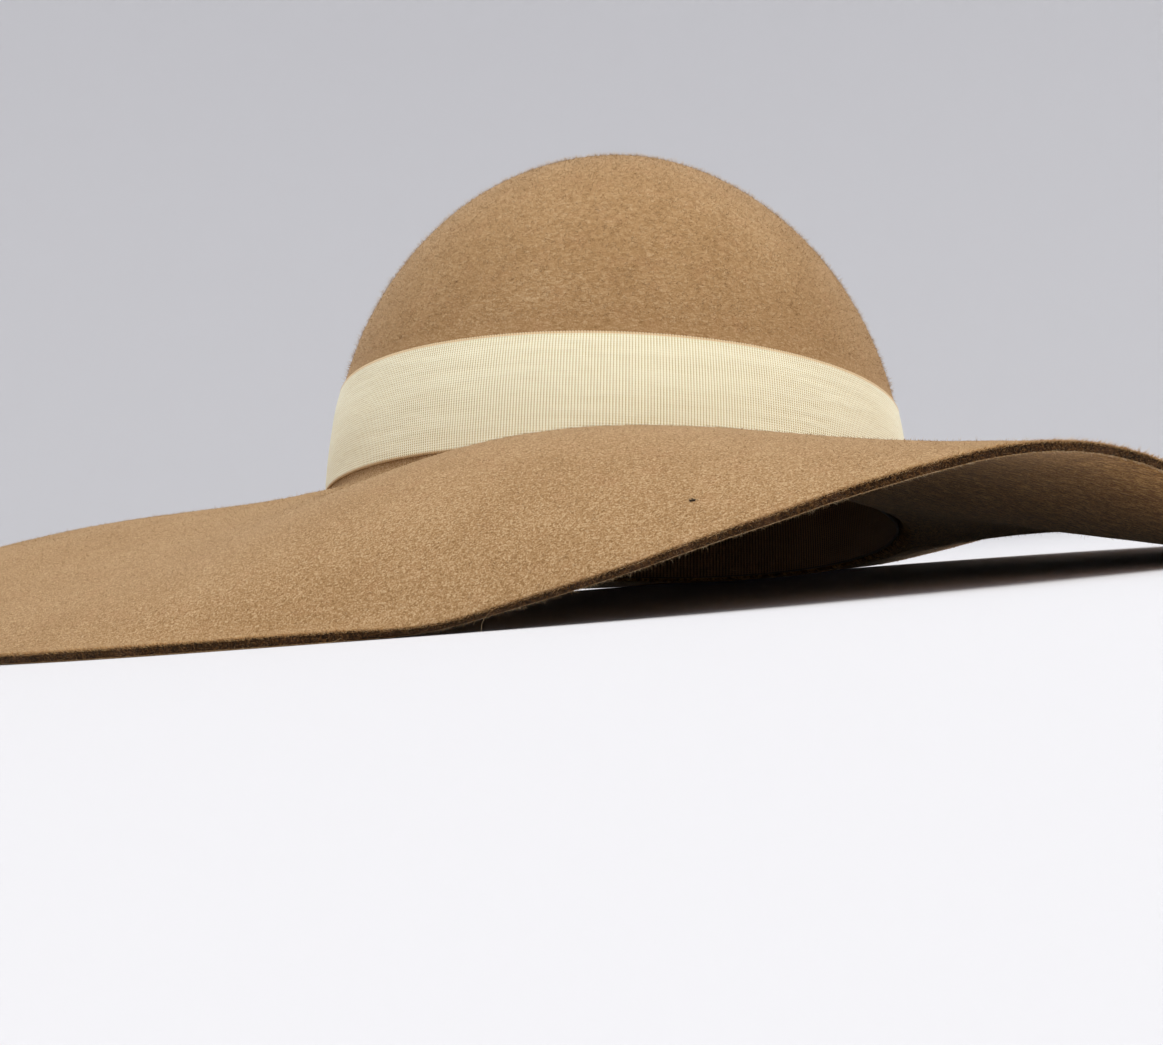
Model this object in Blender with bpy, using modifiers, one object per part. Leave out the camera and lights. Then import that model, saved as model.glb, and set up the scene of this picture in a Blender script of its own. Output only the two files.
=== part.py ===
"""A wide-brimmed wool felt hat with a ribbon round its crown, resting on its brim.

The hat is first worked out level, as it was blocked, with the middle of the head opening at the
origin: X across the hat, Y from the front (-) to the back (+), Z up the crown. It is then leaned
onto its brim, the felt is pressed flat where it meets the floor, and everything is moved until
the origin lies on the floor below the middle of the hat's outline. Lengths are in metres.
"""
from collections import namedtuple
import math

import bmesh
import bpy
from mathutils import Matrix, Vector
import numpy as np

MM = 0.001

# Felt hood, measured on its inner side: the hollow of the crown and the underside of the brim
FELT_THICKNESS = 2.4 * MM
OPENING_HALF_WIDTH = 83.0 * MM
OPENING_HALF_LENGTH = 100.0 * MM
CROWN_HEIGHT = 109.0 * MM
BRIM_WIDTH = 125.0 * MM
BREAK_ROUNDING = 6.0 * MM

# Crown: a dome whose side view and plan are both a little fuller or leaner than an ellipse
SIDE_FULLNESS = 2.33
PLAN_FULLNESS = 1.83
CROWN_LEAN_FORWARD = 0.046
CROWN_LEAN_LEFT = 0.013

# Ribbon round the outside and sweatband round the inside of the crown's foot
CLEARANCE = 0.3 * MM
RIBBON_THICKNESS = 0.8 * MM
RIBBON_FOOT = BREAK_ROUNDING
RIBBON_TOP = 35.0 * MM
SWEATBAND_THICKNESS = 1.0 * MM
SWEATBAND_FOOT = 2.0 * MM
SWEATBAND_TOP = 28.0 * MM

# How the hat rests: its back and its right side are low, and soft felt gives where it touches
LEAN_BACK = math.radians(9.2)
LEAN_RIGHT = math.radians(5.9)
SETTLED_DEPTH = 4.0 * MM
PRESS_ROUNDING = 1.5 * MM

# Mesh: directions round the crown, rows up the crown and rows across the brim
DIRECTIONS = 72
BAND_ROWS = (RIBBON_FOOT, 15.0 * MM, 25.0 * MM, RIBBON_TOP)
CROWN_ROWS_DEG = (24.0, 33.0, 42.0, 51.0, 60.0, 70.0, 80.0)
BREAK_ROWS = 3
BRIM_ROWS = (0.16, 0.31, 0.46, 0.61, 0.75, 0.86, 0.94, 1.0)

# The brim waves: one row for each section, 0 degrees to the right and 90 to the back. A section
# is one arc, which leaves the crown at the root slope and ends at the rim slope, up being positive
BrimSection = namedtuple("BrimSection", "direction_deg root_slope_deg rim_slope_deg")
BRIM_SECTIONS = (
    BrimSection(0, 4, 6),
    BrimSection(20, 14, 14),
    BrimSection(40, 17, 16),
    BrimSection(60, 16, 10),
    BrimSection(80, 13, 3),
    BrimSection(100, 13, 0),
    BrimSection(120, 13, -3),
    BrimSection(140, 10, -8),
    BrimSection(160, 6, -14),
    BrimSection(180, 4, -19),
    BrimSection(200, -3, -27),
    BrimSection(220, -14, -35),
    BrimSection(240, -15, -43),
    BrimSection(260, 5, -63),
    BrimSection(280, 9, -43),
    BrimSection(300, -6, -6),
    BrimSection(320, -12, -11),
    BrimSection(340, -5, -3),
)


def round_curve(values, count):
    """Read count values off the smooth closed curve through evenly spaced ones."""
    rows = len(values)
    values = np.array(values, dtype=float)
    bends = 6.0 * (np.roll(values, -1) - 2.0 * values + np.roll(values, 1))
    links = 4.0 * np.eye(rows) + np.roll(np.eye(rows), 1, axis=1) + np.roll(np.eye(rows), -1, axis=1)
    second = np.linalg.solve(links, bends)
    result = []
    for step in range(count):
        place = step * rows / count
        before = int(place) % rows
        after = (before + 1) % rows
        far = place - int(place)
        near = 1.0 - far
        line = near * values[before] + far * values[after]
        bow = (near ** 3 - near) * second[before] + (far ** 3 - far) * second[after]
        result.append(line + bow / 6.0)
    return result


def wall_turn(height):
    """Angle up the dome, from its foot, at which it has this height."""
    return math.asin((height / CROWN_HEIGHT) ** (SIDE_FULLNESS / 2.0))


def crown_point(direction, turn, offset=0.0):
    """Point of the dome, moved outwards from the felt's inner face by offset."""
    def inner(around, up):
        reach = math.cos(up) ** (2.0 / PLAN_FULLNESS)
        height = CROWN_HEIGHT * math.sin(up) ** (2.0 / SIDE_FULLNESS)
        return Vector((
            OPENING_HALF_WIDTH * reach * math.cos(around) - CROWN_LEAN_LEFT * height,
            OPENING_HALF_LENGTH * reach * math.sin(around) - CROWN_LEAN_FORWARD * height,
            height,
        ))

    point = inner(direction, turn)
    if offset == 0.0:
        return point
    small = 0.001
    along = inner(direction + small, turn) - inner(direction - small, turn)
    upward = inner(direction, turn + small) - inner(direction, turn - small)
    return point + along.cross(upward).normalized() * offset


def brim_point(direction, root_slope, rim_slope, distance):
    """Point of the brim's underside, this far from the crown's foot along the felt."""
    turned = (rim_slope - root_slope) * distance / BRIM_WIDTH
    chord = distance * float(np.sinc(turned / 2.0 / math.pi))
    slope = root_slope + turned / 2.0
    outward = Vector((math.cos(direction) / OPENING_HALF_WIDTH, math.sin(direction) / OPENING_HALF_LENGTH, 0.0))
    foot = Vector((OPENING_HALF_WIDTH * math.cos(direction), OPENING_HALF_LENGTH * math.sin(direction), 0.0))
    return foot + outward.normalized() * chord * math.cos(slope) + Vector((0.0, 0.0, chord * math.sin(slope)))


def break_points(wall, foot, brim):
    """Points of the rounded bend between the crown's wall and the brim."""
    points = []
    for row in range(1, BREAK_ROWS):
        part = row / BREAK_ROWS
        points.append(wall * (1 - part) ** 2 + foot * 2 * part * (1 - part) + brim * part ** 2)
    return points


def felt_section(direction, root_slope, rim_slope):
    """The felt's inner face and underside, from below the crown's top out to the rim."""
    turns = [math.radians(row) for row in reversed(CROWN_ROWS_DEG)]
    turns += [wall_turn(height) for height in reversed(BAND_ROWS)]
    points = [crown_point(direction, turn) for turn in turns]
    foot = brim_point(direction, root_slope, rim_slope, 0.0)
    start = brim_point(direction, root_slope, rim_slope, BREAK_ROUNDING)
    points += break_points(points[-1], foot, start)
    points.append(start)
    points += [brim_point(direction, root_slope, rim_slope, BRIM_WIDTH * row) for row in BRIM_ROWS]
    return points


def band_section(direction, heights, offset):
    """One line up a band that lies against the crown's foot."""
    return [crown_point(direction, wall_turn(height), offset) for height in heights]


def lean(points):
    """Turn the level hat onto the low side of its brim."""
    turn = Matrix.Rotation(-LEAN_BACK, 3, "X") @ Matrix.Rotation(LEAN_RIGHT, 3, "Y")
    return [turn @ point for point in points]


def press(point):
    """Flatten the felt onto the floor, with a soft bend where it leaves it."""
    height = point.z
    if height < -PRESS_ROUNDING:
        height = 0.0
    elif height < PRESS_ROUNDING:
        height = (height + PRESS_ROUNDING) ** 2 / (4.0 * PRESS_ROUNDING)
    return Vector((point.x, point.y, height))


def loft(name, sections, pole=None):
    """Join the sections, one for each direction, into a surface whose faces look outwards."""
    mesh = bmesh.new()
    lines = [[mesh.verts.new(point) for point in section] for section in sections]
    top = mesh.verts.new(pole) if pole else None
    for index, line in enumerate(lines):
        following = lines[(index + 1) % len(lines)]
        if top:
            mesh.faces.new((top, line[0], following[0]))
        for row in range(len(line) - 1):
            mesh.faces.new((line[row], line[row + 1], following[row + 1], following[row]))
    mesh.normal_update()
    data = bpy.data.meshes.new(name)
    mesh.to_mesh(data)
    mesh.free()
    data.shade_smooth()
    return bpy.data.objects.new(name, data)


def thicken(piece, thickness, side):
    """Give the surface its thickness, outwards (1) or inwards (-1)."""
    solidify = piece.modifiers.new("thickness", "SOLIDIFY")
    solidify.thickness = thickness
    solidify.offset = side
    solidify.use_even_offset = True
    solidify.use_quality_normals = True


def cloth_material(name, colour, roughness):
    """A plain matt material for felt or ribbon."""
    material = bpy.data.materials.new(name)
    material.use_nodes = True
    shader = material.node_tree.nodes["Principled BSDF"]
    shader.inputs["Base Color"].default_value = (*colour, 1.0)
    shader.inputs["Roughness"].default_value = roughness
    shader.inputs["Metallic"].default_value = 0.0
    return material


def make_felt_body(directions, roots, rims, lift):
    """Crown and brim, blocked from one felt hood."""
    sections = []
    for direction, root, rim in zip(directions, roots, rims):
        leaned = lean(felt_section(direction, root, rim))
        sections.append([press(point + lift) for point in leaned])
    pole = lean([crown_point(0.0, math.pi / 2.0)])[0] + lift
    body = loft("felt_body", sections, pole)
    thicken(body, FELT_THICKNESS, 1.0)
    body.data.materials.append(cloth_material("camel_wool_felt", (0.50, 0.30, 0.14), 0.95))
    return body


def make_ribbon_band(directions, lift):
    """Grosgrain ribbon wound once round the outside of the crown's foot."""
    heights = tuple(reversed(BAND_ROWS))
    offset = FELT_THICKNESS + CLEARANCE
    sections = [[point + lift for point in lean(band_section(way, heights, offset))] for way in directions]
    band = loft("ribbon_band", sections)
    thicken(band, RIBBON_THICKNESS, 1.0)
    band.data.materials.append(cloth_material("cream_grosgrain", (0.83, 0.74, 0.54), 0.7))
    return band


def make_sweatband(directions, lift):
    """Band sewn round the inside of the head opening."""
    heights = (SWEATBAND_TOP, BAND_ROWS[1], SWEATBAND_FOOT)
    sections = [[point + lift for point in lean(band_section(way, heights, -CLEARANCE))] for way in directions]
    band = loft("sweatband", sections)
    thicken(band, SWEATBAND_THICKNESS, -1.0)
    band.data.materials.append(cloth_material("brown_band", (0.20, 0.09, 0.04), 0.8))
    return band


def outline_middle(piece):
    """Middle of the finished piece's outline, seen from above."""
    bpy.context.view_layer.update()
    finished = piece.evaluated_get(bpy.context.evaluated_depsgraph_get())
    points = [vertex.co for vertex in finished.data.vertices]
    middle_x = (min(point.x for point in points) + max(point.x for point in points)) / 2.0
    middle_y = (min(point.y for point in points) + max(point.y for point in points)) / 2.0
    return Vector((middle_x, middle_y, 0.0))


def main():
    for old in list(bpy.data.objects):
        bpy.data.objects.remove(old, do_unlink=True)
    parts = bpy.data.collections.new("felt_hat")
    bpy.context.scene.collection.children.link(parts)

    directions = [2.0 * math.pi * step / DIRECTIONS for step in range(DIRECTIONS)]
    roots = round_curve([math.radians(row.root_slope_deg) for row in BRIM_SECTIONS], DIRECTIONS)
    rims = round_curve([math.radians(row.rim_slope_deg) for row in BRIM_SECTIONS], DIRECTIONS)
    rim_line = [brim_point(*section, BRIM_WIDTH) for section in zip(directions, roots, rims)]
    lowest = min(point.z for point in lean(rim_line))
    lift = Vector((0.0, 0.0, -lowest - SETTLED_DEPTH))

    pieces = (
        make_felt_body(directions, roots, rims, lift),
        make_ribbon_band(directions, lift),
        make_sweatband(directions, lift),
    )
    for piece in pieces:
        parts.objects.link(piece)
    middle = bpy.data.objects.new("outline_middle", None)
    parts.objects.link(middle)
    for piece in pieces:
        piece.parent = middle
    middle.location = -outline_middle(pieces[0])


main()
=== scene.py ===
"""Wide-brimmed wool felt hat, resting on its brim: the finished look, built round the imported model.

Lengths are in metres. The hat is worked out level, as it was blocked: X across it, Y from front to
back, Z up the crown, with the middle of the opening at the origin. Then it is leaned onto its brim.
"""

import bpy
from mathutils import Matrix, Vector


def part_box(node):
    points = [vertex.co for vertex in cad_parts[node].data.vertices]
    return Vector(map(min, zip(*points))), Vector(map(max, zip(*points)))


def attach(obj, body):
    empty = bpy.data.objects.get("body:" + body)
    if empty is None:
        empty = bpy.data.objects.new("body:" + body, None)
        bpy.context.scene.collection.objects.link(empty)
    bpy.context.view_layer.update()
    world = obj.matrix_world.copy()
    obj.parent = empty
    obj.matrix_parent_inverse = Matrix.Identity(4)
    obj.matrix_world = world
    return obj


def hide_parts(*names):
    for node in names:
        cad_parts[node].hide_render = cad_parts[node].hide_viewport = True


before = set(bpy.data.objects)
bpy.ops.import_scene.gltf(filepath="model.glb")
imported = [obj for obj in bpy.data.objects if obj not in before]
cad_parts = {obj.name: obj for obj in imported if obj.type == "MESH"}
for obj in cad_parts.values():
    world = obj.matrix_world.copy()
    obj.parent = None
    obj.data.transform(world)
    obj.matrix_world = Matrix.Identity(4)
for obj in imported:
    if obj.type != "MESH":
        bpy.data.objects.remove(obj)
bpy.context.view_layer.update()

from collections import namedtuple
import math

import bmesh
import bpy
from mathutils import Matrix, Vector, noise
import numpy as np

# Felt body
# The real piece is one hood of carded wool, felted, steamed, pulled over a round block and pressed
# flat into a wide brim. The brim was left unwired, so it has taken soft waves in wear, and its edge
# is cut and left raw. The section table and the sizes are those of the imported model.

MM = 0.001
FELT_THICKNESS = 2.4 * MM
OPENING_HALF_WIDTH = 83.0 * MM
OPENING_HALF_LENGTH = 100.0 * MM
CROWN_HEIGHT = 109.0 * MM
BRIM_WIDTH = 125.0 * MM
BREAK_ROUNDING = 6.0 * MM

# Powers of the crown's rounded outlines, from the side and from above; 2 would be an ellipse
SIDE_FULLNESS = 2.33
PLAN_FULLNESS = 1.83
CROWN_LEAN_FORWARD = 0.046
CROWN_LEAN_LEFT = 0.013

# The leaned hat sinks this far before the floor flattens it, and bends softly out of the flat
LEAN_BACK = math.radians(9.2)
LEAN_RIGHT = math.radians(5.9)
SETTLED_DEPTH = 4.0 * MM
PRESS_ROUNDING = 1.5 * MM

# The brim's slope where it leaves the crown and at its rim, round from +X by way of +Y
BrimSection = namedtuple("BrimSection", "direction_deg root_slope_deg rim_slope_deg")
BRIM_SECTIONS = (
    BrimSection(0, 4, 6),
    BrimSection(20, 14, 14),
    BrimSection(40, 17, 16),
    BrimSection(60, 16, 10),
    BrimSection(80, 13, 3),
    BrimSection(100, 13, 0),
    BrimSection(120, 13, -3),
    BrimSection(140, 10, -8),
    BrimSection(160, 6, -14),
    BrimSection(180, 4, -19),
    BrimSection(200, -3, -27),
    BrimSection(220, -14, -35),
    BrimSection(240, -15, -43),
    BrimSection(260, 5, -63),
    BrimSection(280, 9, -43),
    BrimSection(300, -6, -6),
    BrimSection(320, -12, -11),
    BrimSection(340, -5, -3),
)

# Columns of faces round the hat, and rows of them up the crown, in the bend and across the brim
FELT_COLUMNS = 240
CROWN_ROWS = 34
BEND_ROWS = 5
BRIM_ROWS = 36

# Hand-blocked felt is never quite even: soft dents some centimetres apart, and lumps of wool. The
# edge was cut with shears, so it wanders a little.
DENT_WIDTH = 34.0 * MM
DENT_DEPTH = 0.25 * MM
LUMP_WIDTH = 7.0 * MM
LUMP_DEPTH = 0.07 * MM
CUT_WANDER = 0.3 * MM
CUT_WANDER_LENGTH = 11.0 * MM

# This keeps the pattern of the lumps from following that of the dents
LUMP_SHIFT = Vector((7.3, 1.9, 4.1))

# The ribbon holds the foot of the crown's wall smooth
SMOOTH_UP_TO = 36.0 * MM
UNEVEN_FROM = 48.0 * MM

# Points of a mesh that are closer than this are one point
WELD = 1e-7


def round_curve(values, directions):
    """Values at these directions, off the smooth closed curve through evenly spaced ones."""
    rows = len(values)
    values = np.array(values, dtype=float)
    bends = 6.0 * (np.roll(values, -1) - 2.0 * values + np.roll(values, 1))
    links = 4.0 * np.eye(rows) + np.roll(np.eye(rows), 1, axis=1) + np.roll(np.eye(rows), -1, axis=1)
    second = np.linalg.solve(links, bends)
    place = np.mod(directions, 2.0 * math.pi) * rows / (2.0 * math.pi)
    before = np.floor(place).astype(int) % rows
    after = (before + 1) % rows
    far = place - np.floor(place)
    near = 1.0 - far
    line = near * values[before] + far * values[after]
    return line + ((near ** 3 - near) * second[before] + (far ** 3 - far) * second[after]) / 6.0


def unit(vectors):
    """The vectors at length one; a vector of no length stays as it is."""
    shortest = 1e-12
    return vectors / np.maximum(np.linalg.norm(vectors, axis=-1, keepdims=True), shortest)


def wall_turn(height):
    """Angle up the dome, from its foot, at which it has this height."""
    return np.arcsin((height / CROWN_HEIGHT) ** (SIDE_FULLNESS / 2.0))


def dome(directions, turns):
    """Points of the crown's inner face."""
    reach = np.maximum(np.cos(turns), 0.0) ** (2.0 / PLAN_FULLNESS)
    height = CROWN_HEIGHT * np.abs(np.sin(turns)) ** (2.0 / SIDE_FULLNESS)
    across = OPENING_HALF_WIDTH * reach * np.cos(directions) - CROWN_LEAN_LEFT * height
    along = OPENING_HALF_LENGTH * reach * np.sin(directions) - CROWN_LEAN_FORWARD * height
    return np.stack([across, along, height + 0.0 * directions], axis=-1)


def dome_outside(directions, turns, offset):
    """Points this far outside the crown's inner face."""
    small = 0.001
    round_it = dome(directions + small, turns) - dome(directions - small, turns)
    up_it = dome(directions, turns + small) - dome(directions, turns - small)
    return dome(directions, turns) + unit(np.cross(round_it, up_it)) * np.asarray(offset)[..., None]


def brim_row(directions, roots, rims, distance):
    """Points of the brim's underside, this far from the crown's foot along the felt."""
    turned = (rims - roots) * distance / BRIM_WIDTH
    chord = distance * np.sinc(turned / 2.0 / math.pi)
    slope = roots + turned / 2.0
    flat = np.zeros_like(directions)
    foot = [OPENING_HALF_WIDTH * np.cos(directions), OPENING_HALF_LENGTH * np.sin(directions), flat]
    outward = [np.cos(directions) / OPENING_HALF_WIDTH, np.sin(directions) / OPENING_HALF_LENGTH, flat]
    points = np.stack(foot, axis=-1) + unit(np.stack(outward, axis=-1)) * (chord * np.cos(slope))[:, None]
    points[:, 2] = chord * np.sin(slope)
    return points


def hood_rows(directions):
    """Rows of points over the felt's inner face, from the rim up to the crown's top."""
    roots = np.radians(round_curve([row.root_slope_deg for row in BRIM_SECTIONS], directions))
    rims = np.radians(round_curve([row.rim_slope_deg for row in BRIM_SECTIONS], directions))
    rows = []
    for distance in np.linspace(BRIM_WIDTH, BREAK_ROUNDING, BRIM_ROWS + 1):
        rows.append(brim_row(directions, roots, rims, distance))
    foot = brim_row(directions, roots, rims, 0.0)
    wall = dome(directions, np.full_like(directions, wall_turn(BREAK_ROUNDING)))
    start = rows[-1]
    for part in np.linspace(0.0, 1.0, BEND_ROWS + 1)[1:-1]:
        rows.append(start * (1 - part) ** 2 + foot * 2 * part * (1 - part) + wall * part ** 2)
    for turn in np.linspace(wall_turn(BREAK_ROUNDING), math.pi / 2.0, CROWN_ROWS + 1):
        rows.append(dome(directions, np.full_like(directions, turn)))
    return np.array(rows)


def row_normals(rows):
    """Outward normals of the rows, of which the last is the crown's top."""
    round_it = np.roll(rows, -1, axis=1) - np.roll(rows, 1, axis=1)
    normals = unit(np.cross(round_it, np.gradient(rows, axis=0)))
    normals[-1] = unit(normals[-2].mean(axis=0))
    return normals


def unevenness(point):
    """How far the felt stands out here, for its dents and lumps."""
    place = Vector(point)
    dent = noise.noise(place / DENT_WIDTH) * DENT_DEPTH
    return dent + noise.noise(place / LUMP_WIDTH + LUMP_SHIFT) * LUMP_DEPTH


def press(points):
    """Flatten the felt onto the floor, with a soft bend where it leaves it."""
    height = points[..., 2]
    bend = (height + PRESS_ROUNDING) ** 2 / (4.0 * PRESS_ROUNDING)
    pressed = np.where(height < PRESS_ROUNDING, bend, height)
    pressed = np.where(height < -PRESS_ROUNDING, 0.0, pressed)
    return np.concatenate([points[..., :2], pressed[..., None]], axis=-1)


LEANING = np.array(Matrix.Rotation(-LEAN_BACK, 3, "X") @ Matrix.Rotation(LEAN_RIGHT, 3, "Y"))
level_rows = hood_rows(np.arange(FELT_COLUMNS) * 2.0 * math.pi / FELT_COLUMNS)
lift = -(level_rows[0] @ LEANING.T)[:, 2].min() - SETTLED_DEPTH
relief = np.array([[unevenness(point) for point in row] for row in level_rows])
relief[-1] = relief[-1].mean()
wall_rows = np.arange(len(level_rows))[:, None] > BRIM_ROWS
free = np.clip((level_rows[..., 2] - SMOOTH_UP_TO) / (UNEVEN_FROM - SMOOTH_UP_TO), 0.0, 1.0)
relief *= np.where(wall_rows, free, 1.0)
uneven_rows = level_rows + row_normals(level_rows) * relief[..., None]
wander = np.array([noise.noise(Vector(point) / CUT_WANDER_LENGTH) for point in level_rows[0]])
uneven_rows[0] += unit(uneven_rows[0] - uneven_rows[1]) * (wander * CUT_WANDER)[:, None]
inner_rows = press(uneven_rows @ LEANING.T + np.array([0.0, 0.0, lift]))
felt_normals = row_normals(inner_rows)
outer_rows = inner_rows + felt_normals * FELT_THICKNESS

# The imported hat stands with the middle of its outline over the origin
felt_low = np.minimum(inner_rows.min(axis=(0, 1)), outer_rows.min(axis=(0, 1)))
felt_high = np.maximum(inner_rows.max(axis=(0, 1)), outer_rows.max(axis=(0, 1)))
box_low, box_high = (np.array(corner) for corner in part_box("felt_body"))
to_middle = (box_low + box_high - felt_low - felt_high) / 2.0 * np.array([1.0, 1.0, 0.0])
inner_rows += to_middle
outer_rows += to_middle


def settle(points):
    """Level points to where they are on the leaned and settled hat."""
    return points @ LEANING.T + to_middle + np.array([0.0, 0.0, lift])


def add_object(name, data):
    """A new object for the data, put in the scene."""
    added = bpy.data.objects.new(name, data)
    bpy.context.scene.collection.objects.link(added)
    return added


def grid_piece(name, rows, closed=True, marks=None):
    """A piece from a grid laid over rows of points; marks are vectors that its material reads."""
    row_count = len(rows) - 1
    columns = len(rows[0]) if closed else len(rows[0]) - 1
    mesh = bmesh.new()
    bmesh.ops.create_grid(mesh, x_segments=columns, y_segments=row_count, size=0.5)
    layers = [(mesh.verts.layers.float_vector.new(mark), values) for mark, values in (marks or {}).items()]
    for vertex in mesh.verts:
        column = round((vertex.co.x + 0.5) * columns)
        row = round((vertex.co.y + 0.5) * row_count)
        column = column % columns if closed else column
        vertex.co = rows[row][column]
        for layer, values in layers:
            vertex[layer] = values[row][column]
    bmesh.ops.remove_doubles(mesh, verts=mesh.verts, dist=WELD)
    data = bpy.data.meshes.new(name)
    mesh.to_mesh(data)
    mesh.free()
    data.shade_smooth()
    return add_object(name, data)


def linear(hex_code):
    """The linear colour that shaders take, from an sRGB hex value."""
    channels = [int(hex_code[start:start + 2], 16) / 255.0 for start in (1, 3, 5)]
    return tuple(c / 12.92 if c <= 0.04045 else ((c + 0.055) / 1.055) ** 2.4 for c in channels) + (1.0,)


def add_node(tree, kind, inputs=None, **settings):
    """Add a node with its settings; an input is a value, or an output to link from."""
    node = tree.nodes.new(kind)
    for name, value in settings.items():
        setattr(node, name, value)
    for socket, value in (inputs or {}).items():
        if isinstance(value, bpy.types.NodeSocket):
            tree.links.new(value, node.inputs[socket])
        else:
            node.inputs[socket].default_value = value
    return node


# Wool felt: carded wool dyed camel and matted into a short dense nap that scatters light. The eye
# sees strands a little lighter and darker, clouds of wool some centimetres wide, here and there a
# redder tuft, and a soft bloom where the nap is seen edge-on.
FELT_CLOUD = 22.0 * MM
FELT_TUFT = 6.0 * MM
FELT_STRAND = 0.55 * MM
FELT_GRAIN = 0.42 * MM
FELT_RELIEF = 0.25 * MM
GRAIN_SHARE = 0.4
CLOUD_SHARE = 0.08
REDDER_SHARE = 0.09
REDDER_TUFT = "#B58363"
EDGE_ON_BLOOM = "#E2CAAB"
# The crown's closed nap is mixed toward this tone, a touch below the middle: painted shade
SMOOTHED_AND_SHADED_TONE = 0.49
WOOL_SHADES_AT = (0.39, 0.5, 0.61)


def dyed_wool(name, dark, middle, light, strands=None, loose=False):
    """Wool in three shades of one dye: felt, with strands that follow a mark if named, or fibres."""
    material = bpy.data.materials.new(name)
    material.use_nodes = True
    tree = material.node_tree
    shader = tree.nodes["Principled BSDF"]
    place = add_node(tree, "ShaderNodeTexCoord").outputs["Object"]
    cloud = add_node(tree, "ShaderNodeTexNoise", {
        "Vector": place, "Scale": 1.0 / FELT_CLOUD, "Detail": 3.0, "Roughness": 0.55})
    tuft = add_node(tree, "ShaderNodeTexNoise", {
        "Vector": place, "Scale": 1.0 / FELT_TUFT, "Detail": 2.0, "Roughness": 0.5})
    if loose:
        fine = add_node(tree, "ShaderNodeAttribute", attribute_name="shade").outputs["Fac"]
    else:
        along = place
        if strands:
            along = add_node(tree, "ShaderNodeAttribute", attribute_name=strands).outputs["Vector"]
        strand = add_node(tree, "ShaderNodeTexNoise", {
            "Vector": along, "Scale": 1.0 / FELT_STRAND, "Detail": 2.5, "Roughness": 0.6,
            "Distortion": 0.9})
        grain = add_node(tree, "ShaderNodeTexNoise", {
            "Vector": place, "Scale": 1.0 / FELT_GRAIN, "Detail": 1.5, "Roughness": 0.6})
        matted = add_node(tree, "ShaderNodeMix", {
            "Factor": GRAIN_SHARE, "A": strand.outputs["Fac"], "B": grain.outputs["Fac"]})
        smoothed_and_shaded = add_node(tree, "ShaderNodeAttribute", attribute_name="smoothed_and_shaded").outputs["Fac"]
        fine = add_node(tree, "ShaderNodeMix", {
            "Factor": smoothed_and_shaded, "A": matted.outputs["Result"], "B": SMOOTHED_AND_SHADED_TONE}).outputs["Result"]
        bump = add_node(tree, "ShaderNodeBump", {
            "Height": fine, "Distance": FELT_RELIEF, "Strength": 0.95})
        tree.links.new(bump.outputs["Normal"], shader.inputs["Normal"])
    shade = add_node(tree, "ShaderNodeMix", {
        "Factor": CLOUD_SHARE, "A": fine, "B": cloud.outputs["Fac"]})
    ramp = add_node(tree, "ShaderNodeValToRGB", {"Fac": shade.outputs["Result"]})
    ramp.color_ramp.elements.new(0.5)
    for element, place_on_ramp, colour in zip(
            ramp.color_ramp.elements, WOOL_SHADES_AT, (dark, middle, light)):
        element.position = place_on_ramp
        element.color = linear(colour)
    redder = add_node(tree, "ShaderNodeMapRange", {
        "Value": tuft.outputs["Fac"], "From Min": 0.52, "From Max": 0.75, "To Max": REDDER_SHARE})
    dyed = add_node(tree, "ShaderNodeMixRGB", {
        "Fac": redder.outputs["Result"], "Color1": ramp.outputs["Color"],
        "Color2": linear(REDDER_TUFT)})
    tree.links.new(dyed.outputs["Color"], shader.inputs["Base Color"])
    shader.inputs["Roughness"].default_value = 0.95
    shader.inputs["Specular IOR Level"].default_value = 0.15
    shader.inputs["Sheen Weight"].default_value = 0.45
    shader.inputs["Sheen Roughness"].default_value = 0.35
    shader.inputs["Sheen Tint"].default_value = linear(EDGE_ON_BLOOM)
    return material


# On the crown the nap is brushed round the head, which draws its strands out; on the brim it curls
# every way. The underside was combed round in blocking. The pattern's coordinates are squeezed the
# more the strands are drawn out. Steam closes the crown's nap, so it looks smoother, and its tone is
# set a touch deeper there: painted shade on the upright crown.
BRUSHED_STRETCH = 2.5
COMBED_STRETCH = 4.0
BRUSHED_FROM = 8.0 * MM
BRUSHED_FULLY = 30.0 * MM
CLOSED_NAP = 0.42


def drawn_out(stretch):
    """Coordinates for strands that run round the hat, drawn out this many times."""
    reach = np.hypot(level_rows[..., 0], level_rows[..., 1])
    height_and_reach = level_rows[..., 2] + (1.0 - 1.0 / stretch) * reach
    return np.stack([level_rows[..., 0] / stretch, level_rows[..., 1] / stretch, height_and_reach], axis=-1)


up_crown = np.clip((level_rows[..., 2] - BRUSHED_FROM) / (BRUSHED_FULLY - BRUSHED_FROM), 0.0, 1.0)
up_crown = up_crown * wall_rows
felt = grid_piece("felt_hat_body", inner_rows, marks={
    "brushed": drawn_out(1.0 + (BRUSHED_STRETCH - 1.0) * up_crown),
    "combed": drawn_out(np.full_like(up_crown, COMBED_STRETCH)),
    "smoothed_and_shaded": np.repeat(up_crown[..., None] * CLOSED_NAP, 3, axis=-1),
})
felt.data.materials.append(
    dyed_wool("camel_wool_felt", "#886740", "#A48158", "#C3A57E", strands="brushed"))
# The cut shows the felt's dense core, a little darker felt, and its colour also carries painted shade for
# the shade the raw edge lies in
felt.data.materials.append(dyed_wool("cut_felt_core_painted_shade", "#1B1005", "#38230F", "#6A4A29"))
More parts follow.
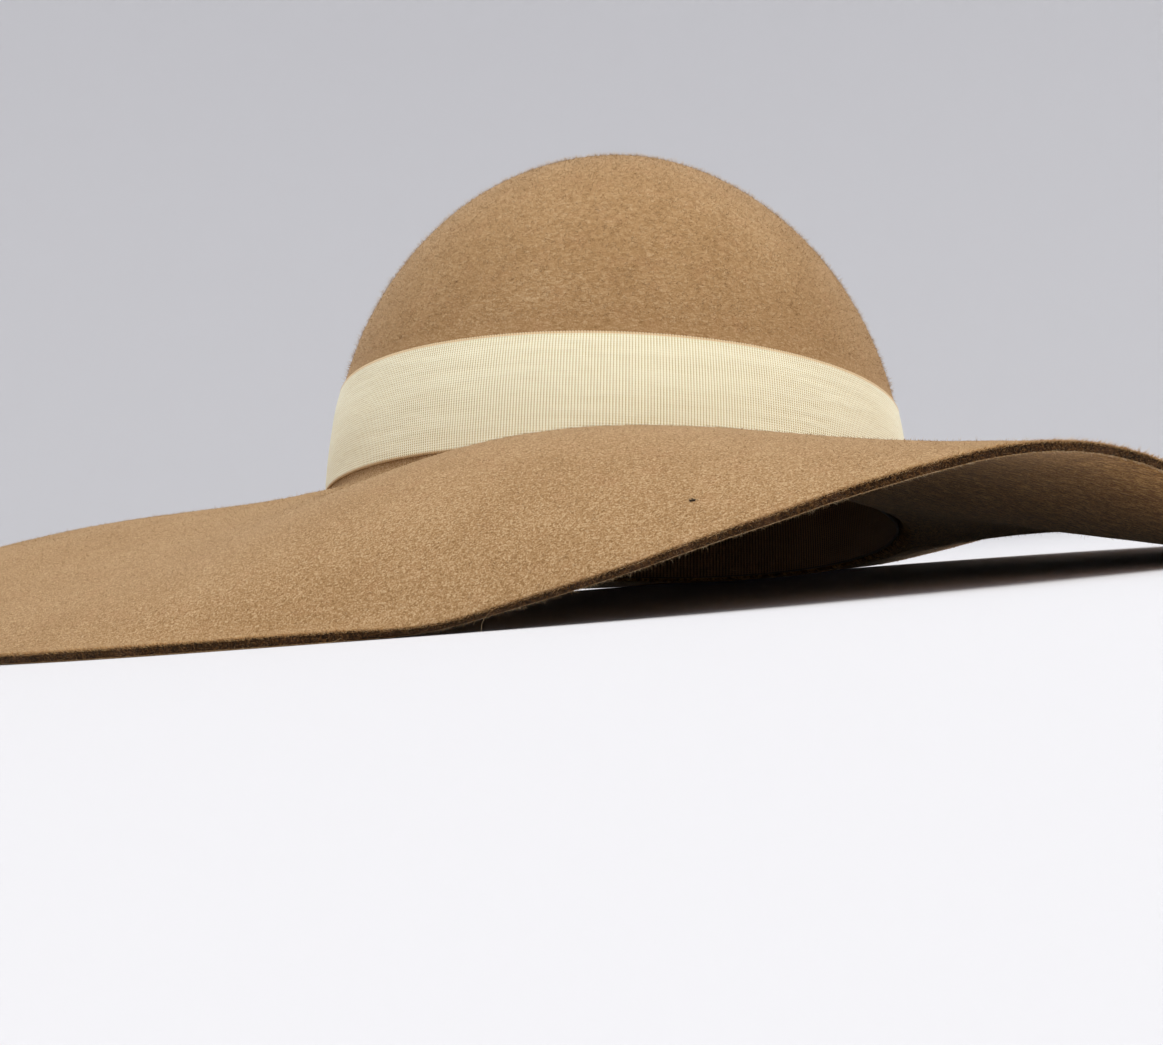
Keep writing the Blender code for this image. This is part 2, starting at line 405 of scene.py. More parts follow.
# The underside is painted deeper and redder than the top: painted shade under the brim, with painted
# warm light bounced round off the felt
felt.data.materials.append(
    dyed_wool("camel_felt_underside_painted_shade", "#543213", "#8B5D2A", "#C4985A", strands="combed"))
OUTSIDE_MATERIAL = 0
CORE_MATERIAL = 1
UNDERSIDE_MATERIAL = 2
EDGE_ROUNDING = 0.26 * MM
wall = felt.modifiers.new("wall", "SOLIDIFY")
wall.thickness = FELT_THICKNESS
wall.offset = 1.0
wall.use_even_offset = True
wall.use_quality_normals = True
wall.material_offset = UNDERSIDE_MATERIAL
wall.material_offset_rim = CORE_MATERIAL
cut = felt.modifiers.new("cut", "BEVEL")
cut.width = EDGE_ROUNDING
cut.segments = 3
cut.material = OUTSIDE_MATERIAL
cut.limit_method = "ANGLE"
cut.angle_limit = math.radians(50.0)
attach(felt, "root")
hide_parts("felt_body")

# Nap
# Fine ends of wool all over the felt. Brushing raised about half of them, which make its soft
# outline, and the rest lie nearly flat. Real ones are 0.03 mm thick, and these are drawn as
# thick as they need to be to show.

NAP_THICKNESS = 0.085 * MM
NAP_ROOT_DEPTH = 0.03 * MM
LOWEST_FIBRE = 0.05 * MM

# Lengths of those that lie, spreads, and how steeply the two kinds stand
NAP_LENGTH = 0.85 * MM
NAP_LENGTH_SPREAD = 0.3
SHORTEST_NAP = 0.35 * MM
LONGEST_NAP = 2.2 * MM
BRUSHED_ASIDE = math.radians(28.0)
LYING_SLOPE = math.radians(8.0)
LEAST_RAISED = math.radians(22.0)
MOST_RAISED = math.radians(78.0)
# The nap's shade sits above the middle of the ramp: paler fibre ends, with painted highlight
NAP_SHADE = 0.55
NAP_SHADE_SPREAD = 0.08
FREE_OF_RIBBON = 35.5 * MM
FIBRE_SEED = 41

# Raised wool takes the felt's dye, and its fine ends look a little paler than the matted felt; they
# are painted paler still, a painted highlight for the soft glow of the fuzz along the outlines
raised_wool = dyed_wool("raised_camel_wool", "#927049", "#B08F66", "#D4B990", loose=True)
# The underside's raised wool is deeper and redder too: painted shade and painted warm bounce light
underside_wool = dyed_wool("raised_underside_wool_painted_shade", "#61401F", "#936936", "#CFA86F", loose=True)
NapArea = namedtuple("NapArea", "name fibres faces outside brushed raised_share raised_mm wool")
on_brim = np.arange(len(inner_rows) - 1)[:, None] < BRIM_ROWS + BEND_ROWS
in_front = inner_rows[:-1, :, 1] < 0.0
above_ribbon = ~on_brim & (level_rows[:-1, :, 2] > FREE_OF_RIBBON)
NAP_AREAS = (
    NapArea("nap_of_crown", 49500, above_ribbon, True, True, 0.65, 1.3, raised_wool),
    NapArea("nap_of_brim_front", 30000, on_brim & in_front, True, False, 0.5, 0.75, raised_wool),
    NapArea("nap_of_brim_back", 27000, on_brim & ~in_front, True, False, 0.6, 0.75, raised_wool),
    NapArea("nap_of_underside", 16000, on_brim, False, True, 0.3, 0.95, underside_wool),
)


def strewn(rows, normals, count, random, wanted):
    """Places strewn evenly over the wanted faces of the rows: points, normals, ways round the hat."""
    low, high = rows[:-1], rows[1:]
    round_low = np.roll(low, -1, axis=1)
    round_high = np.roll(high, -1, axis=1)
    share = np.linalg.norm(np.cross(round_low - low, high - low), axis=-1) * wanted
    chosen = random.choice(share.size, count, p=(share / share.sum()).ravel())
    row, column = np.unravel_index(chosen, share.shape)
    across, up = random.random((2, count, 1))
    beside = (column + 1) % rows.shape[1]
    points = ((low[row, column] * (1 - across) + round_low[row, column] * across) * (1 - up)
              + (high[row, column] * (1 - across) + round_high[row, column] * across) * up)
    facing = unit((normals[row, column] * (1 - across) + normals[row, beside] * across) * (1 - up)
                  + (normals[row + 1, column] * (1 - across) + normals[row + 1, beside] * across) * up)
    return points, facing, unit(round_low[row, column] - low[row, column])


def fibre_piece(name, roots, ways, lengths, shades, material, thickness=NAP_THICKNESS):
    """Many fibres joined in one mesh: each is a thin spike of four faces, with a shade of its own."""
    above = LOWEST_FIBRE < np.minimum(roots[:, 2], (roots + ways * lengths[:, None])[:, 2])
    roots, ways, lengths, shades = roots[above], ways[above], lengths[above], shades[above]
    helper = np.where(np.abs(ways[:, 2:]) < 0.9, np.array([0.0, 0.0, 1.0]), np.array([1.0, 0.0, 0.0]))
    side = unit(np.cross(ways, helper))
    other_side = np.cross(ways, side)
    corners = [roots + ways * lengths[:, None]]
    for turn in np.radians([90.0, 210.0, 330.0]):
        corners.append(roots + (side * math.cos(turn) + other_side * math.sin(turn)) * thickness / 2.0)
    spike = np.array([[1, 3, 2], [1, 2, 0], [2, 3, 0], [3, 1, 0]])
    faces = np.arange(len(roots))[:, None, None] * 4 + spike
    data = bpy.data.meshes.new(name)
    data.vertices.add(len(roots) * 4)
    data.vertices.foreach_set("co", np.stack(corners, axis=1).ravel())
    data.loops.add(faces.size)
    data.loops.foreach_set("vertex_index", faces.ravel())
    data.polygons.add(len(roots) * 4)
    data.polygons.foreach_set("loop_start", np.arange(len(roots) * 4) * 3)
    data.update(calc_edges=True)
    data.attributes.new("shade", "FLOAT", "POINT").data.foreach_set("value", np.repeat(shades, 4))
    data.materials.append(material)
    piece = add_object(name, data)
    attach(piece, "root")


random = np.random.default_rng(FIBRE_SEED)
for area in NAP_AREAS:
    surface = outer_rows if area.outside else inner_rows
    surface_normals = felt_normals if area.outside else -felt_normals
    count = area.fibres
    points, facing, round_hat = strewn(surface, surface_normals, count, random, area.faces)
    heading = random.uniform(0.0, 2.0 * math.pi, count)
    if area.brushed:
        heading = random.normal(0.0, BRUSHED_ASIDE, count) + math.pi * random.integers(0, 2, count)
    lying = np.abs(random.normal(LYING_SLOPE, LYING_SLOPE, count))
    raised = random.uniform(LEAST_RAISED, MOST_RAISED, count)
    is_raised = random.random(count) < area.raised_share
    stand = np.where(is_raised, raised, lying)[:, None]
    up_felt = np.cross(facing, round_hat)
    flat_way = round_hat * np.cos(heading)[:, None] + up_felt * np.sin(heading)[:, None]
    lengths = np.where(is_raised, area.raised_mm * MM, NAP_LENGTH)
    lengths = lengths * random.lognormal(0.0, NAP_LENGTH_SPREAD, count)
    lengths = np.clip(lengths, SHORTEST_NAP, LONGEST_NAP)
    shades = np.clip(random.normal(NAP_SHADE, NAP_SHADE_SPREAD, count), 0.2, 0.9)
    roots = points - facing * NAP_ROOT_DEPTH
    ways = flat_way * np.cos(stand) + facing * np.sin(stand)
    fibre_piece(area.name, roots, ways, lengths, shades, area.wool)

# Cut edge's fibres
# The shears left a thick row of short ends on the raw edge. Those from the felt's core are dark brown,
# darker felt with painted shade for the shade of the edge, and both lips carry a longer fringe from
# the felt's two faces: golden above, with painted warm light, and paler and greyer below.

EDGE_FIBRE_THICKNESS = 0.11 * MM
EDGE_ROOT_DEPTH = 0.06 * MM
EDGE_SIDEWAYS_SPREAD = 0.9
EDGE_UPWARDS_SPREAD = 0.45
EDGE_FANNING = 0.6
EDGE_LENGTH_SPREAD = 0.42
SHORTEST_END_MM = 0.2
LONGEST_END_MM = 2.2

# Each lip's share of the cut, and the share of each half, out from the middle, that is flat
LIP = 0.14
FLAT_OF_CUT = 0.45
EdgeFringe = namedtuple("EdgeFringe", "name fibres cut_from cut_to length_mm rise shade spread wool")
# The core's ends are dark brown: deeper felt, with painted shade for the shade the cut lies in
core_wool = dyed_wool("cut_wool_ends_painted_shade", "#1E1006", "#46301A", "#A17C50", loose=True)
# The upper lip's fringe is painted warmer than the nap: painted light, for the overhead light these fibres
# miss where they stand out from the rim
golden_wool = dyed_wool("golden_lip_wool_painted_light", "#8A6034", "#B98A54", "#E2BC84", loose=True)
# The lower lip's fringe is paler and greyer than the felt
pale_grey_wool = dyed_wool("pale_grey_lip_wool", "#6B5336", "#A68A66", "#D9C3A0", loose=True)
EDGE_FRINGES = (
    EdgeFringe("ends_of_cut_edge", 24000, LIP, 1.0 - LIP, 0.5, 0.0, 0.46, 0.12, core_wool),
    EdgeFringe("fringe_of_upper_lip", 34000, 1.0 - 2.0 * LIP, 1.0, 0.7, 0.75, 0.53, 0.09, golden_wool),
    EdgeFringe("fringe_of_lower_lip", 14000, 0.0, LIP, 0.6, -0.2, 0.5, 0.1, pale_grey_wool),
)
edge_outward = unit(inner_rows[0] - inner_rows[1])
for fringe in EDGE_FRINGES:
    count = fringe.fibres
    place_round = random.uniform(0.0, FELT_COLUMNS, count)
    column = place_round.astype(int) % FELT_COLUMNS
    beside = (column + 1) % FELT_COLUMNS
    part = (place_round - np.floor(place_round))[:, None]
    across_cut = random.uniform(fringe.cut_from, fringe.cut_to, (count, 1))
    on_lower = inner_rows[0, column] * (1 - part) + inner_rows[0, beside] * part
    on_upper = outer_rows[0, column] * (1 - part) + outer_rows[0, beside] * part
    edge_round = unit(inner_rows[0, beside] - inner_rows[0, column])
    # The lips are rounded, so the ends there start further in than on the flat of the cut
    from_middle = np.abs(across_cut - 0.5) * 2.0
    past_flat = np.clip((from_middle - FLAT_OF_CUT) / (1.0 - FLAT_OF_CUT), 0.0, 1.0)
    root_depth = EDGE_ROOT_DEPTH + EDGE_ROUNDING * past_flat ** 2
    roots = on_lower * (1 - across_cut) + on_upper * across_cut - edge_outward[column] * root_depth
    sideways = random.normal(0.0, EDGE_SIDEWAYS_SPREAD, (count, 1))
    upwards = random.normal(0.0, EDGE_UPWARDS_SPREAD, (count, 1))
    upwards += (across_cut - 0.5) * EDGE_FANNING + fringe.rise
    ways = unit(edge_outward[column] + edge_round * sideways + felt_normals[0, column] * upwards)
    lengths_mm = random.lognormal(math.log(fringe.length_mm), EDGE_LENGTH_SPREAD, count)
    lengths = np.clip(lengths_mm, SHORTEST_END_MM, LONGEST_END_MM) * MM
    shades = np.clip(random.normal(fringe.shade, fringe.spread, count), 0.2, 0.8)
    fibre_piece(fringe.name, roots, ways, lengths, shades, fringe.wool, EDGE_FIBRE_THICKNESS)

# Loose hairs and lint
# A few long wool hairs have worked out of the edge, and one dark speck of lint has caught on the
# brim in front. They are where the hat has them, with a few more round the sides and back.

HAIR_THICKNESS = 0.06 * MM
HAIR_TIP = 0.4
HAIR_BEND = 1.6 * math.pi
HAIR_STATIONS = 12
HAIR_ROOT_DEPTH = 0.3 * MM
LOWEST_HAIR = 0.2 * MM
HAIR_SHADE = 0.58
LooseHair = namedtuple("LooseHair", "direction_deg round_mm out_mm up_mm curl_mm")
LOOSE_HAIRS = (
    LooseHair(261, -9, 5, -1, 2.0),
    LooseHair(269, -3, 5, -2, 0.9),
    LooseHair(293, 11, 1, 2, -1.2),
    LooseHair(318, 5, 3, 2, 1.0),
    LooseHair(342, -4, 3, 2, 0.8),
    LooseHair(14, 6, 3, 1, 1.1),
    LooseHair(52, -5, 4, 2, -0.9),
    LooseHair(97, 4, 4, 2, 1.2),
    LooseHair(141, 6, 2, 3, 0.8),
    LooseHair(188, -6, 3, 2, 1.0),
    LooseHair(214, 4, 4, 1, -1.1),
)
hair_lines = bpy.data.curves.new("hair_lines", "CURVE")
hair_lines.dimensions = "3D"
hair_lines.bevel_depth = HAIR_THICKNESS / 2.0
hair_lines.bevel_resolution = 0
hair_lines.use_fill_caps = True
along_hair = np.linspace(0.0, 1.0, HAIR_STATIONS)[:, None]
for hair in LOOSE_HAIRS:
    column = round(hair.direction_deg / 360.0 * FELT_COLUMNS) % FELT_COLUMNS
    start = (inner_rows[0, column] + outer_rows[0, column]) / 2.0 - edge_outward[column] * HAIR_ROOT_DEPTH
    round_hat = unit(inner_rows[0, (column + 1) % FELT_COLUMNS] - inner_rows[0, column])
    reach_way = (round_hat * hair.round_mm + edge_outward[column] * hair.out_mm) * MM
    reach_way = reach_way + np.array([0.0, 0.0, hair.up_mm * MM])
    bow = unit(np.cross(reach_way, felt_normals[0, column])) * hair.curl_mm * MM
    path = start + reach_way * along_hair + bow * np.sin(along_hair * HAIR_BEND)
    path[:, 2] = np.maximum(path[:, 2], LOWEST_HAIR)
    spline = hair_lines.splines.new("POLY")
    spline.points.add(HAIR_STATIONS - 1)
    for point, spot, radius in zip(spline.points, path, np.linspace(1.0, HAIR_TIP, HAIR_STATIONS)):
        point.co = (*spot, 1.0)
        point.radius = radius
hair_guide = add_object("hair_guide", hair_lines)
evaluated = hair_guide.evaluated_get(bpy.context.evaluated_depsgraph_get())
hair_data = bpy.data.meshes.new_from_object(evaluated)
bpy.data.objects.remove(hair_guide)
hair_mesh = bmesh.new()
hair_mesh.from_mesh(hair_data)
bmesh.ops.remove_doubles(hair_mesh, verts=hair_mesh.verts, dist=WELD)
bmesh.ops.recalc_face_normals(hair_mesh, faces=hair_mesh.faces)
hair_mesh.to_mesh(hair_data)
hair_mesh.free()
hair_data.attributes.new("shade", "FLOAT", "POINT").data.foreach_set(
    "value", np.full(len(hair_data.vertices), HAIR_SHADE))
hair_data.materials.clear()
hair_data.materials.append(raised_wool)
loose_hairs = add_object("loose_wool_hairs", hair_data)
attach(loose_hairs, "root")

# The lint is a small tangle of dark fibres, longer across the hat than it is deep
LINT_DIRECTION_DEG = 279.0
LINT_DISTANCE = 112.0 * MM
LINT_SPAN = np.array([1.5, 0.7, 0.7]) * MM
LINT_WAYS = np.array([1.0, 0.5, 0.5])
LINT_RISE = 0.35
LINT_HEIGHT = 0.05 * MM
LINT_THICKNESS = 0.16 * MM
LINT_FIBRES = 38
lint_column = round(LINT_DIRECTION_DEG / 360.0 * FELT_COLUMNS)
lint_row = round((BRIM_WIDTH - LINT_DISTANCE) / (BRIM_WIDTH - BREAK_ROUNDING) * BRIM_ROWS)
lint_facing = felt_normals[lint_row, lint_column]
lint_place = outer_rows[lint_row, lint_column]
lint_roots = lint_place + random.normal(0.0, LINT_SPAN / 4.0, (LINT_FIBRES, 3))
lint_roots -= lint_facing * ((lint_roots - lint_place) @ lint_facing)[:, None]
lint_roots += lint_facing * LINT_HEIGHT
lint_ways = unit(random.normal(0.0, 1.0, (LINT_FIBRES, 3)) * LINT_WAYS + lint_facing * LINT_RISE)
lint_lengths = random.uniform(0.3, 0.8, LINT_FIBRES) * MM
lint_shades = random.uniform(0.4, 0.6, LINT_FIBRES)
dark_lint = dyed_wool("dark_lint", "#1C1917", "#2A2522", "#3A332E", loose=True)
fibre_piece("speck_of_lint", lint_roots, lint_ways, lint_lengths, lint_shades, dark_lint, LINT_THICKNESS)

# Ribbon band
# A cream grosgrain ribbon, 29 mm wide, wound once round the foot of the crown, lapped and tacked
# down at the back. Its weft ribs run up and down, and each edge is a woven selvedge with a small
# loop at every rib. Wound tight round a dome, it has taken faint ripples along its length.

RIBBON_FOOT = 6.0 * MM
RIBBON_TOP = 35.0 * MM
RIBBON_CLEARANCE = 0.12 * MM
RIBBON_THICKNESS = 0.45 * MM
RIBBON_MEASURED_AT = 20.0 * MM
RIB_PITCH = 0.76 * MM
RIB_DEPTH = 0.14 * MM
COLUMNS_PER_RIB = 3
RIBBON_ROWS = 8
SELVEDGE = 0.4 * MM
LOOP_DEPTH = 0.3 * MM
LOOP_SWELL = 0.4
LAP_DIRECTION = math.radians(75.0)
LAP_RIBS = 15
LAP_RISE = 0.6 * MM
LAP_RISE_RIBS = 3.0
RIPPLE_DEPTH = 0.35 * MM
RIPPLE_DIP = 0.1
RIPPLES_ROUND = 2.4
RIPPLES_UP = 5.0

# Directions all round, close enough together to measure along
MEASURING_STEPS = 4000
even = np.linspace(0.0, 2.0 * math.pi, MEASURING_STEPS + 1)


def walk_round(start, height):
    """Distances walked round the crown at this height, at the even directions from the start."""
    line = dome(start + even, np.full_like(even, wall_turn(height)))
    return np.concatenate([[0.0], np.cumsum(np.linalg.norm(np.diff(line, axis=0), axis=1))])


def ripples(directions, waves_round, up):
    """Smooth noise round the hat, for a tape that doesn't lie quite flat."""
    return np.array([
        noise.noise(Vector((math.cos(way) * waves_round, math.sin(way) * waves_round, up)))
        for way in directions
    ])


def weave_marks(along, heights, up):
    """Places on the flat tape: along it, up it, and the share of its width."""
    return np.stack([along, heights + 0.0 * along, np.full_like(along, up)], axis=-1)


walked = walk_round(LAP_DIRECTION, RIBBON_MEASURED_AT)
rib_count = round(walked[-1] / RIB_PITCH)
along_ribs = np.arange((rib_count + LAP_RIBS) * COLUMNS_PER_RIB + 1) / COLUMNS_PER_RIB
once_round = np.mod(along_ribs / rib_count, 1.0)
ribbon_directions = LAP_DIRECTION + np.interp(once_round * walked[-1], walked, even)
rib_wave = 0.5 - 0.5 * np.cos(2.0 * math.pi * along_ribs)
lapped = np.clip((along_ribs - rib_count + LAP_RISE_RIBS) / LAP_RISE_RIBS, 0.0, 1.0) * LAP_RISE
ribbon_rows = []
weave_rows = []
selvedge_share = SELVEDGE / (RIBBON_TOP - RIBBON_FOOT)
woven = np.linspace(selvedge_share, 1.0 - selvedge_share, RIBBON_ROWS + 1)
for up in (0.0, *woven, 1.0):
    at_edge = 1.0 if up in (0.0, 1.0) else 0.0
    loops = at_edge * LOOP_DEPTH * rib_wave * (1.0 if up > 0.5 else -1.0)
    heights = RIBBON_FOOT + (RIBBON_TOP - RIBBON_FOOT) * up + loops
    ripple = ripples(ribbon_directions, RIPPLES_ROUND, up * RIPPLES_UP)
    offsets = FELT_THICKNESS + RIBBON_CLEARANCE + RIBBON_THICKNESS + lapped
    offsets = offsets + RIB_DEPTH * rib_wave * (1.0 + LOOP_SWELL * at_edge)
    offsets = offsets + RIPPLE_DEPTH * np.maximum(ripple, -RIPPLE_DIP)
    ribbon_rows.append(settle(dome_outside(ribbon_directions, wall_turn(heights), offsets)))
    weave_rows.append(weave_marks(along_ribs * RIB_PITCH, heights, up))
ribbon = grid_piece("ribbon", np.array(ribbon_rows), closed=False, marks={"weave": np.array(weave_rows)})


# Tight winding draws long shallow creases into the tape, with painted shade along them as well as
# relief, and its selvedge takes a warmer shade: the felt seen through its loops, with painted shade
# and warm light bounced off the felt
CREASE_LENGTH = 26.0 * MM
CREASE_WIDTH = 2.3 * MM
CREASE_DEPTH = 0.22 * MM
THREAD_PITCH = 0.6 * MM
THREAD_SHARE = 0.34
SLUB_SHARE = 0.25
PAINTED_CREASE_SHADE = 0.14
WEAVE_RELIEF = 0.14 * MM
TAPE_SHADES_AT = (0.24, 0.37, 0.52)


def ribbed_tape(name, groove_painted_shade, middle, crest_painted_highlight, selvedge, rib_pitch, roughness):
    """A woven tape with ribs across it: thick weft under fine warp, which dips between the ribs."""
    material = bpy.data.materials.new(name)
    material.use_nodes = True
    tree = material.node_tree
    shader = tree.nodes["Principled BSDF"]
    weave = add_node(tree, "ShaderNodeAttribute", attribute_name="weave").outputs["Vector"]
    # A wave texture's period is a tenth of pi over its scale
    ribs = add_node(tree, "ShaderNodeTexWave", {
        "Vector": weave, "Scale": math.pi / 10.0 / rib_pitch}, bands_direction="X")
    threads = add_node(tree, "ShaderNodeTexWave", {
        "Vector": weave, "Scale": math.pi / 10.0 / THREAD_PITCH, "Distortion": 1.5,
        "Detail Scale": 0.4}, bands_direction="Y")
    slub = add_node(tree, "ShaderNodeTexNoise", {
        "Vector": weave, "Scale": 1.0 / rib_pitch, "Detail": 2.0, "Roughness": 0.6})
    along_creases = add_node(tree, "ShaderNodeMapping", {
        "Vector": weave, "Scale": (1.0 / CREASE_LENGTH, 1.0 / CREASE_WIDTH, 1.0)})
    creases = add_node(tree, "ShaderNodeTexNoise", {
        "Vector": along_creases.outputs["Vector"], "Scale": 1.0, "Detail": 2.0, "Roughness": 0.55})
    cloth = add_node(tree, "ShaderNodeMix", {
        "Factor": THREAD_SHARE, "A": ribs.outputs["Fac"], "B": threads.outputs["Fac"]})
    worn = add_node(tree, "ShaderNodeMix", {
        "Factor": SLUB_SHARE, "A": cloth.outputs["Result"], "B": slub.outputs["Fac"]})
    # The creases darken the colour too: painted shade along them
    creased = add_node(tree, "ShaderNodeMix", {
        "Factor": PAINTED_CREASE_SHADE, "A": worn.outputs["Result"], "B": creases.outputs["Fac"]})
    # Across the ramp the grooves take painted shade and the crests painted highlight
    ramp = add_node(tree, "ShaderNodeValToRGB", {"Fac": creased.outputs["Result"]})
    ramp.color_ramp.elements.new(0.5)
    for element, place_on_ramp, colour in zip(
            ramp.color_ramp.elements, TAPE_SHADES_AT, (groove_painted_shade, middle, crest_painted_highlight)):
        element.position = place_on_ramp
        element.color = linear(colour)
    # Both edges take the selvedge colour: on the ribbon, painted shade and warm light bounced off the felt,
    # over the felt seen through the loops
    up_tape = add_node(tree, "ShaderNodeSeparateXYZ", {"Vector": weave}).outputs["Z"]
    from_middle = add_node(tree, "ShaderNodeMath", {0: up_tape, 1: 0.5}, operation="SUBTRACT")
    to_edge = add_node(tree, "ShaderNodeMath", {0: from_middle.outputs[0]}, operation="ABSOLUTE")
    at_selvedge = add_node(tree, "ShaderNodeMapRange", {
        "Value": to_edge.outputs[0], "From Min": 0.48, "From Max": 0.488, "To Max": 0.8})
    dyed = add_node(tree, "ShaderNodeMixRGB", {
        "Fac": at_selvedge.outputs["Result"], "Color1": ramp.outputs["Color"],
        "Color2": linear(selvedge)})
    crease_bump = add_node(tree, "ShaderNodeBump", {
        "Height": creases.outputs["Fac"], "Distance": CREASE_DEPTH, "Strength": 1.0})
    bump = add_node(tree, "ShaderNodeBump", {
        "Height": cloth.outputs["Result"], "Distance": WEAVE_RELIEF, "Strength": 0.9,
        "Normal": crease_bump.outputs["Normal"]})
    tree.links.new(dyed.outputs["Color"], shader.inputs["Base Color"])
    tree.links.new(bump.outputs["Normal"], shader.inputs["Normal"])
    shader.inputs["Roughness"].default_value = roughness
    shader.inputs["Specular IOR Level"].default_value = 0.3
    shader.inputs["Sheen Weight"].default_value = 0.3
    return material


# Rayon grosgrain: fine glossy warp over thick weft. Each crest is painted lighter and each groove
# darker, painted highlight and painted shade that give each rib a soft light of its own
ribbon.data.materials.append(
    ribbed_tape("cream_rayon_grosgrain", "#B4965B", "#FBECBF", "#FFFCE0", "#D2AE7A", RIB_PITCH, 0.55))
ribbon_wall = ribbon.modifiers.new("weave", "SOLIDIFY")
ribbon_wall.thickness = RIBBON_THICKNESS
ribbon_wall.offset = -1.0
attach(ribbon, "root")
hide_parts("ribbon_band")

# Sweatband
# A brown ribbed tape inside the opening, sewn to the felt along its lower edge so that it keeps
# the hat's size. It stands a little off the felt between its stitches.

SWEATBAND_FOOT = 2.0 * MM
SWEATBAND_TOP = 28.0 * MM
SWEATBAND_THICKNESS = 0.8 * MM
SWEATBAND_CLEARANCE = 0.4 * MM
SWEATBAND_MEASURED_AT = 15.0 * MM
SWEATBAND_COLUMNS = 480
SWEATBAND_ROWS = 8
PUCKER_DEPTH = 0.5 * MM
PUCKERS_ROUND = 5.0
PUCKERS_PER_METRE_UP = 60.0
TAPE_RIB_PITCH = 1.2 * MM

tape_directions = np.arange(SWEATBAND_COLUMNS) * 2.0 * math.pi / SWEATBAND_COLUMNS
tape_walked = walk_round(0.0, SWEATBAND_MEASURED_AT)
tape_along = np.interp(tape_directions, even, tape_walked)
tape_rows = []
tape_weave = []
for height in np.linspace(SWEATBAND_FOOT, SWEATBAND_TOP, SWEATBAND_ROWS + 1):
    pucker = ripples(tape_directions, PUCKERS_ROUND, height * PUCKERS_PER_METRE_UP)
    offsets = -SWEATBAND_CLEARANCE - PUCKER_DEPTH * np.abs(pucker)
    turns = np.full_like(tape_directions, wall_turn(height))
    tape_rows.append(settle(dome_outside(tape_directions, turns, offsets)))
    up = (height - SWEATBAND_FOOT) / (SWEATBAND_TOP - SWEATBAND_FOOT)
    tape_weave.append(weave_marks(tape_along, height, up))
sweatband = grid_piece("sweatband_tape", np.array(tape_rows), marks={"weave": np.array(tape_weave)})
# Cotton tape, dyed dark brown; its grooves carry painted shade and its crests painted highlight
sweatband.data.materials.append(
    ribbed_tape("brown_cotton_tape", "#54351F", "#835B3B", "#A57B54", "#6B482C", TAPE_RIB_PITCH, 0.75))
tape_wall = sweatband.modifiers.new("tape", "SOLIDIFY")
tape_wall.thickness = SWEATBAND_THICKNESS
tape_wall.offset = -1.0
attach(sweatband, "root")
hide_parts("sweatband")

# Floor and backdrop
# One wide sheet of pale backdrop paper, matt and faintly cool. It lies level under the hat and
# sweeps up into a wall all round, so that no edge shows behind the brim.

FLOOR_RADIUS = 2.2
INNER_RING = 0.5
SWEEP_RADIUS = 1.2
SWEEP_STEPS = 12
WALL_TOP = 3.6
PAPER_COLUMNS = 96
PAPER_WELD = 1e-6

sweep = bmesh.new()
profile = [Vector((reach, 0.0, 0.0)) for reach in (0.0, INNER_RING, FLOOR_RADIUS)]
for step in range(1, SWEEP_STEPS + 1):
    turn = math.pi / 2.0 * step / SWEEP_STEPS
    out = FLOOR_RADIUS + SWEEP_RADIUS * math.sin(turn)
    profile.append(Vector((out, 0.0, SWEEP_RADIUS * (1.0 - math.cos(turn)))))
profile.append(Vector((FLOOR_RADIUS + SWEEP_RADIUS, 0.0, WALL_TOP)))
line = [sweep.verts.new(point) for point in profile]
edges = [sweep.edges.new(pair) for pair in zip(line[:-1], line[1:])]
bmesh.ops.spin(sweep, geom=line + edges, axis=(0, 0, 1), cent=(0, 0, 0), angle=2.0 * math.pi,
               steps=PAPER_COLUMNS, use_merge=True)
bmesh.ops.remove_doubles(sweep, verts=sweep.verts, dist=PAPER_WELD)
bmesh.ops.recalc_face_normals(sweep, faces=sweep.faces)
sweep_mesh = bpy.data.meshes.new("floor")
sweep.to_mesh(sweep_mesh)
sweep.free()
sweep_mesh.shade_smooth()
floor = add_object("floor", sweep_mesh)
pale_paper = bpy.data.materials.new("pale_backdrop_paper")
pale_paper.use_nodes = True
paper_shader = pale_paper.node_tree.nodes["Principled BSDF"]
paper_shader.inputs["Base Color"].default_value = linear("#DADADD")
paper_shader.inputs["Roughness"].default_value = 0.9
paper_shader.inputs["Specular IOR Level"].default_value = 0.1
floor.data.materials.append(pale_paper)

# Light
# A wide soft box overhead, to the right and in front, makes one soft shadow. Even pale light from
# all round fills the rest, so that the underside of the brim still shows.

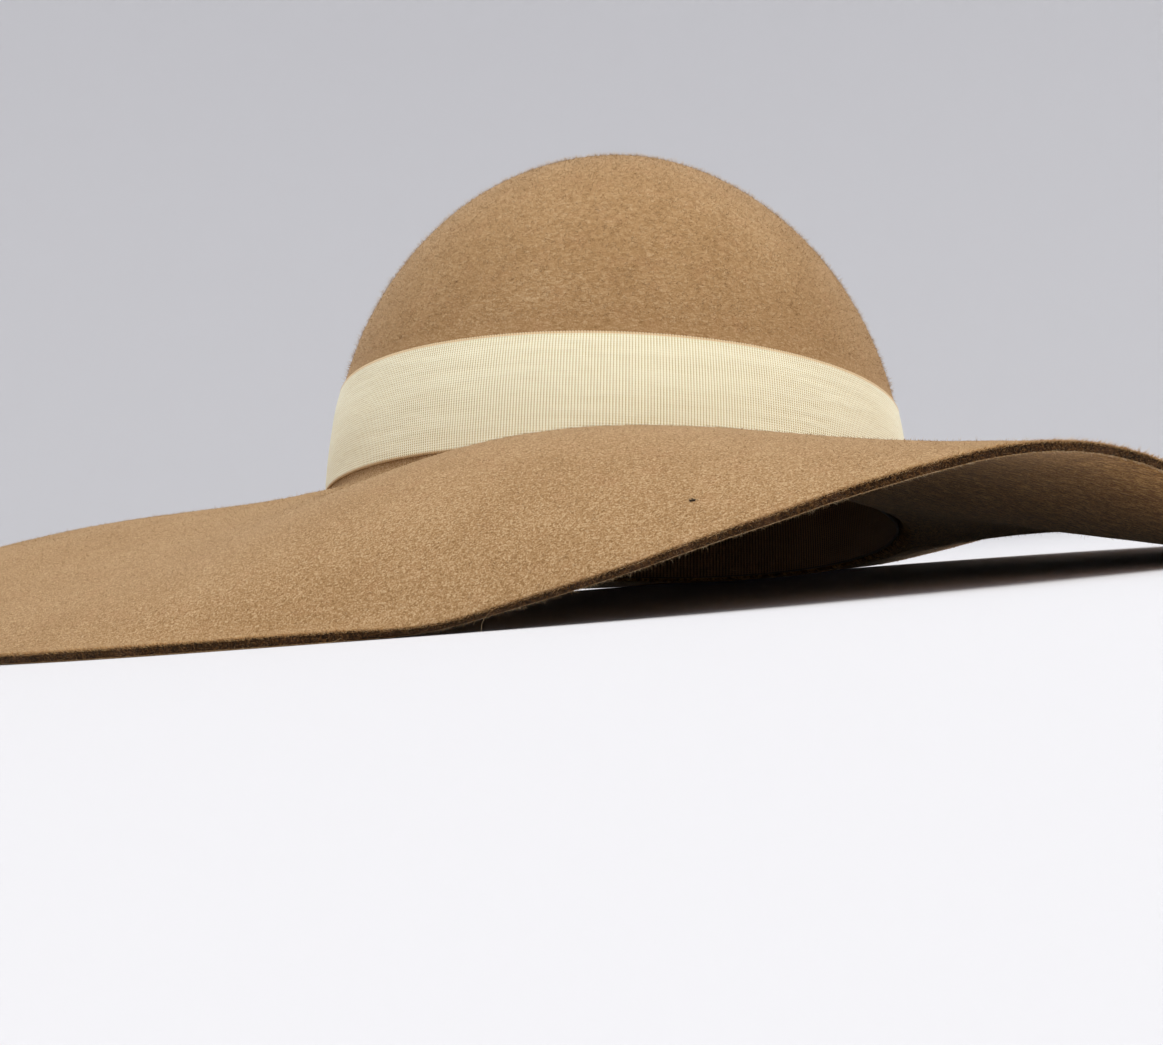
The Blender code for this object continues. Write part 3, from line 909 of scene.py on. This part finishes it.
BOX_PLACE = Vector((0.6, -0.55, 2.15))
BOX_AIM = Vector((0.0, 0.0, 0.05))
BOX_WIDTH = 1.7
BOX_DEPTH = 1.4
BOX_WATTS = 37.5
BOX_COLOUR = (1.0, 0.985, 0.955)
EVEN_COLOUR = (0.92, 0.92, 0.935, 1.0)
EVEN_STRENGTH = 1.0

lamp = bpy.data.lights.new("overhead", "AREA")
lamp.shape = "RECTANGLE"
lamp.size = BOX_WIDTH
lamp.size_y = BOX_DEPTH
lamp.energy = BOX_WATTS
lamp.color = BOX_COLOUR
soft_box = add_object("overhead", lamp)
soft_box.location = BOX_PLACE
soft_box.rotation_euler = (BOX_AIM - BOX_PLACE).to_track_quat("-Z", "Y").to_euler()
even_light = bpy.data.worlds.new("even_light")
even_light.use_nodes = True
all_round = even_light.node_tree.nodes["Background"]
all_round.inputs["Color"].default_value = EVEN_COLOUR
all_round.inputs["Strength"].default_value = EVEN_STRENGTH
bpy.context.scene.world = even_light
bpy.context.scene.view_settings.view_transform = "Standard"

# Camera
# It has the photo's bearing, distance and lens. There the hat was seen from about eight degrees
# below its resting plane, so here the camera is raised until it is just above the floor.

PHOTO_WIDTH_PX = 1163
FOCAL_LENGTH_PX = 2008.0
SENSOR_WIDTH_MM = 36.0
CAMERA_PLACE = Vector((0.0410, -0.5997, 0.0120))
CAMERA_BEARING = math.radians(4.97)
CAMERA_PITCH = math.radians(1.09)
CAMERA_ROLL = math.radians(-4.86)

camera_data = bpy.data.cameras.new("camera")
camera_data.sensor_width = SENSOR_WIDTH_MM
camera_data.lens = FOCAL_LENGTH_PX * SENSOR_WIDTH_MM / PHOTO_WIDTH_PX
camera_data.clip_start = 0.01
camera_data.clip_end = 50.0
camera = add_object("camera", camera_data)
camera.matrix_world = (
    Matrix.Translation(CAMERA_PLACE)
    @ Matrix.Rotation(CAMERA_BEARING, 4, "Z")
    @ Matrix.Rotation(math.pi / 2.0 + CAMERA_PITCH, 4, "X")
    @ Matrix.Rotation(CAMERA_ROLL, 4, "Z")
)
bpy.context.scene.camera = camera
